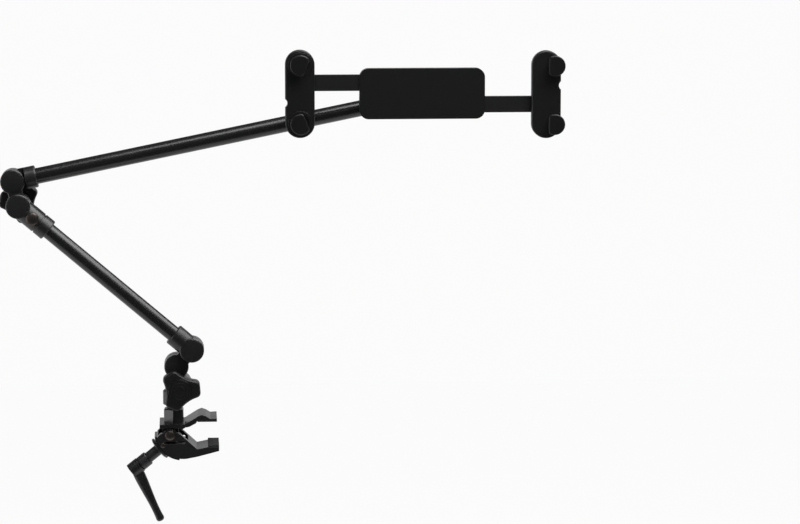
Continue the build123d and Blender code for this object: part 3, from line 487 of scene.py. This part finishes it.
class ArmDetails(bpy.types.PropertyGroup):
    """Sizes of the modelled pieces"""

    lobe_reach: FloatProperty(
        name="Knob lobe reach", description="Distance of the lobes' sharp corners from the axis",
        default=21.6 * MM, unit="LENGTH",
    )
    hollow_reach: FloatProperty(
        name="Knob hollow reach",
        description="Distance of the hollows' sharp corners from the axis",
        default=12.9 * MM, unit="LENGTH",
    )
    knob_thickness: FloatProperty(
        name="Knob thickness", description="Thickness of a knob's lobes",
        default=15.5 * MM, unit="LENGTH",
    )
    knob_edge: FloatProperty(
        name="Knob edge", description="Radius of the rounded edge of a knob",
        default=2.3 * MM, unit="LENGTH",
    )
    ring_width: FloatProperty(
        name="Disc ring width", description="Width of each raised ring on a knob's disc",
        default=0.5 * MM, unit="LENGTH",
    )
    ring_rise: FloatProperty(
        name="Disc ring rise", description="Height of each raised ring on a knob's disc",
        default=0.1 * MM, unit="LENGTH",
    )
    ring_count: IntProperty(
        name="Disc rings", description="How many raised rings a knob's disc has",
        default=2, min=0,
    )
    eye_crown: FloatProperty(
        name="Eye crown", description="Rise of the crowned front faces of the eyes",
        default=0.7 * MM, unit="LENGTH",
    )
    grub_radius: FloatProperty(
        name="Grub screw radius", description="Radius of the grub screws in the sleeves",
        default=1.9 * MM, unit="LENGTH",
    )


class ArmStudio(bpy.types.PropertyGroup):
    """Camera, floor, wall and room of the studio"""

    distance: FloatProperty(
        name="Camera distance", description="Distance of the camera from the arm",
        default=3.1, unit="LENGTH",
    )
    elevation: FloatProperty(
        name="Camera elevation", description="Height of the camera above the horizon",
        default=math.radians(7.82), subtype="ANGLE",
    )
    swing: FloatProperty(
        name="Camera swing", description="Turn of the camera round the arm, towards its left side",
        default=math.radians(4.0), subtype="ANGLE",
    )
    aim: FloatVectorProperty(
        name="Camera aim", description="Point in the middle of the picture",
        subtype="XYZ", unit="LENGTH", default=(0.2026, 0.0, 0.15735),
    )
    lens: FloatProperty(name="Lens", description="Focal length in millimetres", default=138.46)
    floor_drop: FloatProperty(
        name="Floor drop", description="Height of the arm's lowest point above the floor",
        default=0.75, unit="LENGTH",
    )
    floor_depth: FloatProperty(
        name="Floor depth", description="Length of the floor's sides",
        default=44.0, unit="LENGTH",
    )
    floor_front: FloatProperty(
        name="Floor front", description="How far the floor reaches in front of the arm",
        default=0.95, unit="LENGTH",
    )
    wall_distance: FloatProperty(
        name="Wall distance", description="Distance of the wall behind the arm",
        default=5.0, unit="LENGTH",
    )
    wall_height: FloatProperty(
        name="Wall height", description="Height of the wall behind the arm",
        default=2.6, unit="LENGTH",
    )
    room_light: FloatProperty(
        name="Room light", description="Strength of the dim room around the lamps",
        default=0.11,
    )


# Finishes of the CAD nodes


FINISHES = {}


def node_slot(name):
    """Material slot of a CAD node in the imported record."""
    entry = next(part for part in frame["record"]["subparts"] if part["node"] == name)
    return entry["material_slot"]


def make_finishes():
    """Every finish of the arm, by the record's material slots."""
    colours = bpy.context.scene.arm_finishes
    paint, plastic, disc = tuple(colours.paint), tuple(colours.plastic), tuple(colours.disc)
    rubber, steel = tuple(colours.rubber), tuple(colours.steel)
    washer, brass = (0.09, 0.09, 0.09), (0.72, 0.5, 0.22)
    blacked, coated = (0.03, 0.03, 0.032), (0.014, 0.014, 0.0155)
    return {
        "cast_paint": satin_paint("Satin black casting paint", paint, 0.38, 0.012 * MM),
        "tube_paint": satin_paint(
            "Satin black tube paint", paint, 0.24, 0.002 * MM, corner=1.8 * MM
        ),
        "slide_metal": satin_paint("Black slide paint", paint, 0.4, 0.015 * MM),
        "lever_plastic": satin_paint("Black lever coating", paint, 0.38, 0.02 * MM),
        "knob_plastic": moulded_plastic("Knob plastic", plastic, 0.44, 0.03 * MM),
        # The caps' wider rounded corner also widens their painted edge highlight
        "grip_plastic": moulded_plastic(
            "Grip cap plastic", plastic, 0.4, 0.02 * MM, corner=1.1 * MM
        ),
        "holder_plastic": moulded_plastic("Holder plastic", plastic, 0.45, 0.02 * MM),
        "knob_disc": moulded_plastic("Knob disc plastic", disc, 0.36, 0.006 * MM),
        "washer_plastic": moulded_plastic("Friction washer plastic", washer, 0.5, 0.01 * MM),
        "pad": soft_rubber("Pad rubber", rubber),
        "grip_rubber": soft_rubber("Grip rubber", rubber),
        "bright_pin": turned_metal("Jaw pin steel", steel, 0.34, coated=False),
        "brass_insert": turned_metal("Insert brass", brass, 0.32, coated=False),
        "black_steel": turned_metal("Blacked screw steel", blacked, 0.36, coated=True),
        "screw_steel": turned_metal("Coated screw steel", coated, 0.36, coated=True),
    }


class ARM_OT_finish_nodes(bpy.types.Operator):
    """Gives every CAD piece its finish"""

    bl_idname = "arm.finish_nodes"
    bl_label = "Finish the pieces"

    def execute(self, context):
        FINISHES.update(make_finishes())
        for name, piece in frame["nodes"].items():
            piece.data.materials.clear()
            piece.data.materials.append(FINISHES[node_slot(name)])
        return {"FINISHED"}


# Knobs


def lobed_knob(name, boss_length, disc_radius, disc_depth):
    """Knob of three lobes about the Z axis, on a round boss whose foot is at the origin."""
    boss_radius, boss_overlap, boss_sides = 7.8 * MM, 1.0 * MM, 64
    hollow_round, lobe_round = 7.5 * MM, 3.6 * MM
    disc_play, cutter_height, cutter_sides = 0.15 * MM, 4 * MM, 96
    details = bpy.context.scene.arm_details
    edge, thickness = details.knob_edge, details.knob_thickness

    # A nine-sided plate, turned so that it has a corner at each hollow, which then moves
    # in. These angles are in degrees
    hollow_turns, plate_turn, reach_turn = (60, 180, 300), 10, 15
    deselect_all()
    bpy.ops.mesh.primitive_circle_add(
        vertices=9, radius=details.lobe_reach, fill_type="NGON",
        location=(0, 0, boss_length + edge), rotation=(0, 0, math.radians(plate_turn)),
    )
    knob = name_primitive(name)
    bpy.ops.object.mode_set(mode="EDIT")
    hollows = [Matrix.Rotation(math.radians(turn), 3, "Z").col[0] for turn in hollow_turns]
    close = math.cos(math.radians(reach_turn))

    def in_hollow(place):
        flat = Vector((place.x, place.y, 0)).normalized()
        return any(flat.dot(hollow) > close for hollow in hollows)

    select_corners(knob, in_hollow)
    share = details.hollow_reach / details.lobe_reach
    bpy.ops.transform.resize(value=(share, share, 1), center_override=(0, 0, 0))
    bpy.ops.mesh.bevel(
        offset=hollow_round, segments=12, affect="VERTICES", clamp_overlap=False
    )
    reach = details.lobe_reach - 1.0 * MM
    select_corners(knob, lambda place: math.hypot(place.x, place.y) > reach)
    bpy.ops.mesh.bevel(offset=lobe_round, segments=8, affect="VERTICES", clamp_overlap=False)

    # The plate gets its thickness and its rolled edges
    bpy.ops.mesh.select_mode(type="FACE")
    bpy.ops.mesh.select_all(action="SELECT")
    height = thickness - 2 * edge
    bpy.ops.mesh.extrude_region_move(TRANSFORM_OT_translate={"value": (0, 0, height)})
    bpy.ops.mesh.select_all(action="SELECT")
    bpy.ops.mesh.normals_make_consistent(inside=False)
    select_faces(knob, looks_up)
    roll_over(edge, edge, 6)
    select_faces(knob, looks_down)
    roll_over(edge, -edge, 4)
    bpy.ops.object.mode_set(mode="OBJECT")

    # The disc's recess is cut and the boss is joined on
    boss = add_cylinder(name + "_boss", boss_radius, boss_length + boss_overlap, boss_sides)
    cutter_radius = disc_radius + disc_play
    cutter = add_cylinder(name + "_cutter", cutter_radius, cutter_height, cutter_sides)
    recess = boss_length + thickness - disc_depth
    cutter.data.transform(Matrix.Translation((0, 0, recess)))
    for tool, operation in ((cutter, "DIFFERENCE"), (boss, "UNION")):
        apply_modifier(knob, "BOOLEAN", operation=operation, object=tool, solver="EXACT")
        bpy.data.objects.remove(tool)
    merge_points(knob)
    smooth(knob, 32.0)
    return knob


class ARM_OT_knobs(bpy.types.Operator):
    """Models the two three-lobed knobs with their hollows and rolled edges"""

    bl_idname = "arm.knobs"
    bl_label = "Knobs"

    def execute(self, context):
        thickness = context.scene.arm_details.knob_thickness
        for node, side, turn in (("shoulder_knob", FRONT, 5.0), ("elbow_knob", BACK, 130.0)):
            low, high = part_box(node)
            disc = node + "_face"
            disc_low, disc_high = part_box(disc)
            boss_length = high[1] - low[1] - thickness
            disc_depth = disc_high[1] - disc_low[1]
            knob = lobed_knob(node + "_body", boss_length, radius_of(disc), disc_depth)
            axis = centre_of(disc)
            place = (axis.x, end_of(node, -side), axis.z)
            settle(knob, place, side, node, "knob_plastic", math.radians(turn))
            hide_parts(node)
        return {"FINISHED"}


# Knob discs


def disc_rings(name, radius):
    """Flat plate with raised rings, lying on the Z axis with its back at the origin."""
    details = bpy.context.scene.arm_details
    rim, thickness, chamfer = 0.35 * MM, 0.5 * MM, 0.06 * MM
    gap, slope = radius * 0.22, details.ring_width * 0.3
    plate = add_cylinder(name, radius, thickness, 96)
    bpy.ops.object.mode_set(mode="EDIT")
    select_faces(plate, looks_up)
    bpy.ops.mesh.inset(thickness=rim)
    for _ in range(details.ring_count):
        bpy.ops.mesh.inset(thickness=gap)
        step_in(slope, details.ring_rise)
        bpy.ops.mesh.inset(thickness=details.ring_width)
        step_in(slope, -details.ring_rise)
    bpy.ops.object.mode_set(mode="OBJECT")
    bevel_edges(plate, chamfer, 2, 25.0)
    return plate


class ARM_OT_knob_discs(bpy.types.Operator):
    """Lays a plate with plain raised rings in the face of each knob"""

    bl_idname = "arm.knob_discs"
    bl_label = "Knob discs"

    def execute(self, context):
        play, sunk = 0.15 * MM, 0.02 * MM
        for knob, side in (("shoulder_knob", FRONT), ("elbow_knob", BACK)):
            node = knob + "_face"
            plate = disc_rings(knob + "_rings", radius_of(node) - play)
            middle = centre_of(node)
            place = (middle.x, end_of(node, side) - side * sunk, middle.z)
            settle(plate, place, side, knob, "knob_disc")
        return {"FINISHED"}


# Crowned faces and bolt heads


class ARM_OT_crowned_eyes(bpy.types.Operator):
    """Crowns the front faces of the four eyes that show at the front"""

    bl_idname = "arm.crowned_eyes"
    bl_label = "Crowned eyes"

    def execute(self, context):
        face_radius, to_face, skirt, sunk = 11.0 * MM, 10.7 * MM, 0.2 * MM, 0.18 * MM
        for joint, body in (
            ("knuckle_fold", "knuckle"),
            ("lower_arm_fold", "lower_arm"),
            ("elbow_fold", "lower_arm"),
            ("upper_arm_fold", "elbow_link"),
        ):
            axis = joint_point(joint)
            rise = context.scene.arm_details.eye_crown
            crown = domed_head(joint + "_crown", face_radius, skirt, rise)
            place = (axis.x, axis.y - to_face + sunk, axis.z)
            settle(crown, place, FRONT, body, "cast_paint")
        return {"FINISHED"}


class ARM_OT_bolt_heads(bpy.types.Operator):
    """Domes the ends of the jaw's pin and rivets and of the boss on the elbow sleeve"""

    bl_idname = "arm.bolt_heads"
    bl_label = "Bolt heads"

    def execute(self, context):
        roundness = 2.4
        # In millimetres: the skirt, the rise, how much wider the head is than its
        # node, and how far its skirt stands out of it
        for node, name, side, body, skirt, rise, wider, proud in (
            ("sleeve_boss", "boss_head", FRONT, "lower_arm", 0.9, 1.3, 0.05, 0.05),
            ("jaw_pin", "jaw_pin_head_front", FRONT, "clamp", 1.1, 1.0, 0.04, 0.03),
            ("jaw_pin", "jaw_pin_head_back", BACK, "clamp", 1.1, 1.0, 0.04, 0.03),
            ("jaw_rivets", "jaw_rivet_head_front", FRONT, "lower_jaw", 0.5, 0.5, 0.04, 0.03),
            ("jaw_rivets", "jaw_rivet_head_back", BACK, "lower_jaw", 0.5, 0.5, 0.04, 0.03),
        ):
            radius = radius_of(node) + wider * MM
            head = domed_head(name, radius, skirt * MM, rise * MM, roundness)
            middle = centre_of(node)
            foot = end_of(node, side) - side * (skirt - proud) * MM
            settle(head, (middle.x, foot, middle.z), side, body, "bright_pin")
        return {"FINISHED"}


# Grub screws


def grub_screw(name, radius):
    """Socket set screw, its face at the origin and its body below."""
    length, socket_depth, chamfer = 1.6 * MM, 0.9 * MM, 0.12 * MM
    socket_wall = radius * 0.42
    screw = add_cylinder(name, radius, length, 32)
    bpy.ops.object.mode_set(mode="EDIT")
    select_faces(screw, looks_up)
    bpy.ops.mesh.inset(thickness=socket_wall)
    bpy.ops.mesh.extrude_region_move(TRANSFORM_OT_translate={"value": (0, 0, -socket_depth)})
    bpy.ops.object.mode_set(mode="OBJECT")
    bevel_edges(screw, chamfer, 2)
    screw.data.transform(Matrix.Translation((0, 0, -length)))
    return screw


class ARM_OT_grub_screws(bpy.types.Operator):
    """Puts in the sleeves' backs the grub screws that hold the tubes"""

    bl_idname = "arm.grub_screws"
    bl_label = "Grub screws"

    def execute(self, context):
        sleeve_radius, ring_radius, sunk = 11.1 * MM, 10.6 * MM, 0.1 * MM
        shoulder, elbow = joint_point("lower_arm_fold"), joint_point("elbow_fold")
        wrist, head = joint_point("upper_arm_fold"), joint_point("head_pan")
        lower = (elbow - shoulder).normalized()
        upper = Vector((head.x - wrist.x, 0, head.z - wrist.z)).normalized()
        for name, start, along, distance, body, tube_y, radius in (
            ("shoulder_grub", shoulder, lower, 18.5, "lower_arm", shoulder.y, sleeve_radius),
            ("elbow_grub", elbow, -lower, 33.0, "lower_arm", shoulder.y, sleeve_radius),
            ("wrist_grub", wrist, upper, 18.5, "upper_arm", head.y, sleeve_radius),
            ("head_grub", head, -upper, 37.0, "upper_arm", head.y, ring_radius),
        ):
            place = start + along * distance * MM
            place.y = tube_y + radius - sunk
            screw = grub_screw(name, context.scene.arm_details.grub_radius)
            settle(screw, place, BACK, body, "black_steel")
        return {"FINISHED"}


# Studio


def studio_paper(name, colour, roughness, white_share):
    """Pale paper that the camera, gloss and glass see mostly as white, under its shadows."""
    shader = Shader(name)
    camera, gloss, glass = shader.rays("Camera", "Glossy", "Transmission")
    seen = (camera + gloss + glass).between(0.0, 1.0)
    sockets = {"Base Color": colour, "Roughness": roughness}
    pale = shader.wire("ShaderNodeBsdfPrincipled", {}, sockets)
    white = shader.wire("ShaderNodeEmission", {}, {"Color": WHITE, "Strength": 1.0})
    values = {0: seen * white_share, 1: pale, 2: white}
    return shader.finish(shader.wire("ShaderNodeMixShader", {}, values))


def make_world(dim):
    """White for the camera and through glass, and a dim room for everything else."""
    world = bpy.data.worlds.new("Studio surround")
    bpy.context.scene.world = world
    world.use_nodes = True
    graph = Graph(world.node_tree)
    camera, glass = graph.rays("Camera", "Transmission")
    seen = graph.wire("ShaderNodeMath", {"operation": "MAXIMUM"}, {0: camera, 1: glass})
    values = {"Value": seen, "To Min": dim, "To Max": 1.0}
    strength = graph.wire("ShaderNodeMapRange", {}, values, "Result")
    room = graph.wire("ShaderNodeBackground", {}, {"Color": WHITE, "Strength": strength})
    graph.add("ShaderNodeOutputWorld", {}, {"Surface": room})


def add_backdrop(studio):
    """Floor under the arm and wall behind it, of the same pale paper."""
    pale_grey, roughness, white_share = (0.9, 0.9, 0.9, 1.0), 0.9, 0.94
    paper = studio_paper("Studio paper", pale_grey, roughness, white_share)
    middle_x = 0.2
    width = studio.floor_depth
    floor_z = CAD_BOX[0][2] - studio.floor_drop
    floor_place = (middle_x, width / 2 - studio.floor_front, floor_z)
    wall_place = (middle_x, studio.wall_distance, floor_z + studio.wall_height / 2)
    upright = (math.radians(90), 0, 0)
    for name, height, place, rotation in (
        ("studio_floor", width, floor_place, (0, 0, 0)),
        ("studio_wall", studio.wall_height, wall_place, upright),
    ):
        deselect_all()
        bpy.ops.mesh.primitive_plane_add(size=1.0, location=place, rotation=rotation)
        sheet = bpy.context.object
        sheet.name = name
        sheet.scale = (width, height, 1.0)
        sheet.data.materials.append(paper)


def add_area_light(name, place, target, size, power):
    """Large soft lamp that looks at a point."""
    deselect_all()
    bpy.ops.object.light_add(type="AREA", location=place)
    lamp = bpy.context.object
    lamp.name = name
    lamp.data.name = name
    lamp.data.shape = "RECTANGLE"
    lamp.data.size, lamp.data.size_y = size
    lamp.data.energy = power
    lamp.rotation_euler = (Vector(target) - Vector(place)).to_track_quat("-Z", "Y").to_euler()


def add_camera(studio):
    """Camera at the studio's distance, elevation and swing, which looks at its aim."""
    tilt, swing = studio.elevation, studio.swing
    level = math.cos(tilt)
    back = Vector((-math.sin(swing) * level, -math.cos(swing) * level, math.sin(tilt)))
    place = Vector(studio.aim) + back * studio.distance
    deselect_all()
    bpy.ops.object.camera_add(location=place, rotation=(math.radians(90) - tilt, 0, -swing))
    camera = bpy.context.object
    camera.name = "studio_camera"
    camera.data.lens = studio.lens
    camera.data.sensor_width = 36.0
    camera.data.clip_end = 80.0
    bpy.context.scene.camera = camera


class ARM_OT_studio(bpy.types.Operator):
    """Sets the floor, the wall, the lamps, the surround and the camera"""

    bl_idname = "arm.studio"
    bl_label = "Studio"

    def execute(self, context):
        studio = context.scene.arm_studio
        add_backdrop(studio)
        aim = Vector(studio.aim)
        # Each lamp's place from the aim, its size in metres and its power in watts
        for name, place, size, power in (
            ("top_lamp", (0.75, -0.45, 2.1), (3.4, 2.2), 165.0),
            ("left_lamp", (-2.2, -0.6, -0.1), (1.2, 2.0), 24.0),
            ("front_lamp", (0.6, -2.0, 1.9), (2.0, 1.2), 3.0),
        ):
            add_area_light(name, aim + Vector(place), aim, size, power)
        make_world(studio.room_light)
        add_camera(studio)
        context.scene.view_settings.view_transform = "Standard"
        return {"FINISHED"}


class ARM_PT_panel(bpy.types.Panel):
    """Settings and steps of the arm"""

    bl_label = "Tablet Arm"
    bl_idname = "ARM_PT_panel"
    bl_space_type = "VIEW_3D"
    bl_region_type = "UI"
    bl_category = "Tablet Arm"

    def draw(self, context):
        scene = context.scene
        for group in (scene.arm_finishes, scene.arm_details, scene.arm_studio):
            box = self.layout.box()
            for key in group.__annotations__:
                box.prop(group, key)
        for step in STEPS:
            self.layout.operator(step.bl_idname)


STEPS = (
    ARM_OT_finish_nodes,
    ARM_OT_knobs,
    ARM_OT_knob_discs,
    ARM_OT_crowned_eyes,
    ARM_OT_bolt_heads,
    ARM_OT_grub_screws,
    ARM_OT_studio,
)
CLASSES = (ArmFinishes, ArmDetails, ArmStudio, *STEPS, ARM_PT_panel)


def register():
    for kind in CLASSES:
        bpy.utils.register_class(kind)
    bpy.types.Scene.arm_finishes = PointerProperty(type=ArmFinishes)
    bpy.types.Scene.arm_details = PointerProperty(type=ArmDetails)
    bpy.types.Scene.arm_studio = PointerProperty(type=ArmStudio)


def unregister():
    del bpy.types.Scene.arm_studio
    del bpy.types.Scene.arm_details
    del bpy.types.Scene.arm_finishes
    for kind in reversed(CLASSES):
        bpy.utils.unregister_class(kind)


def main():
    """Builds every piece in order."""
    register()
    for step in STEPS:
        group, action = step.bl_idname.split(".")
        getattr(getattr(bpy.ops, group), action)()


if __name__ == "__main__":
    main()
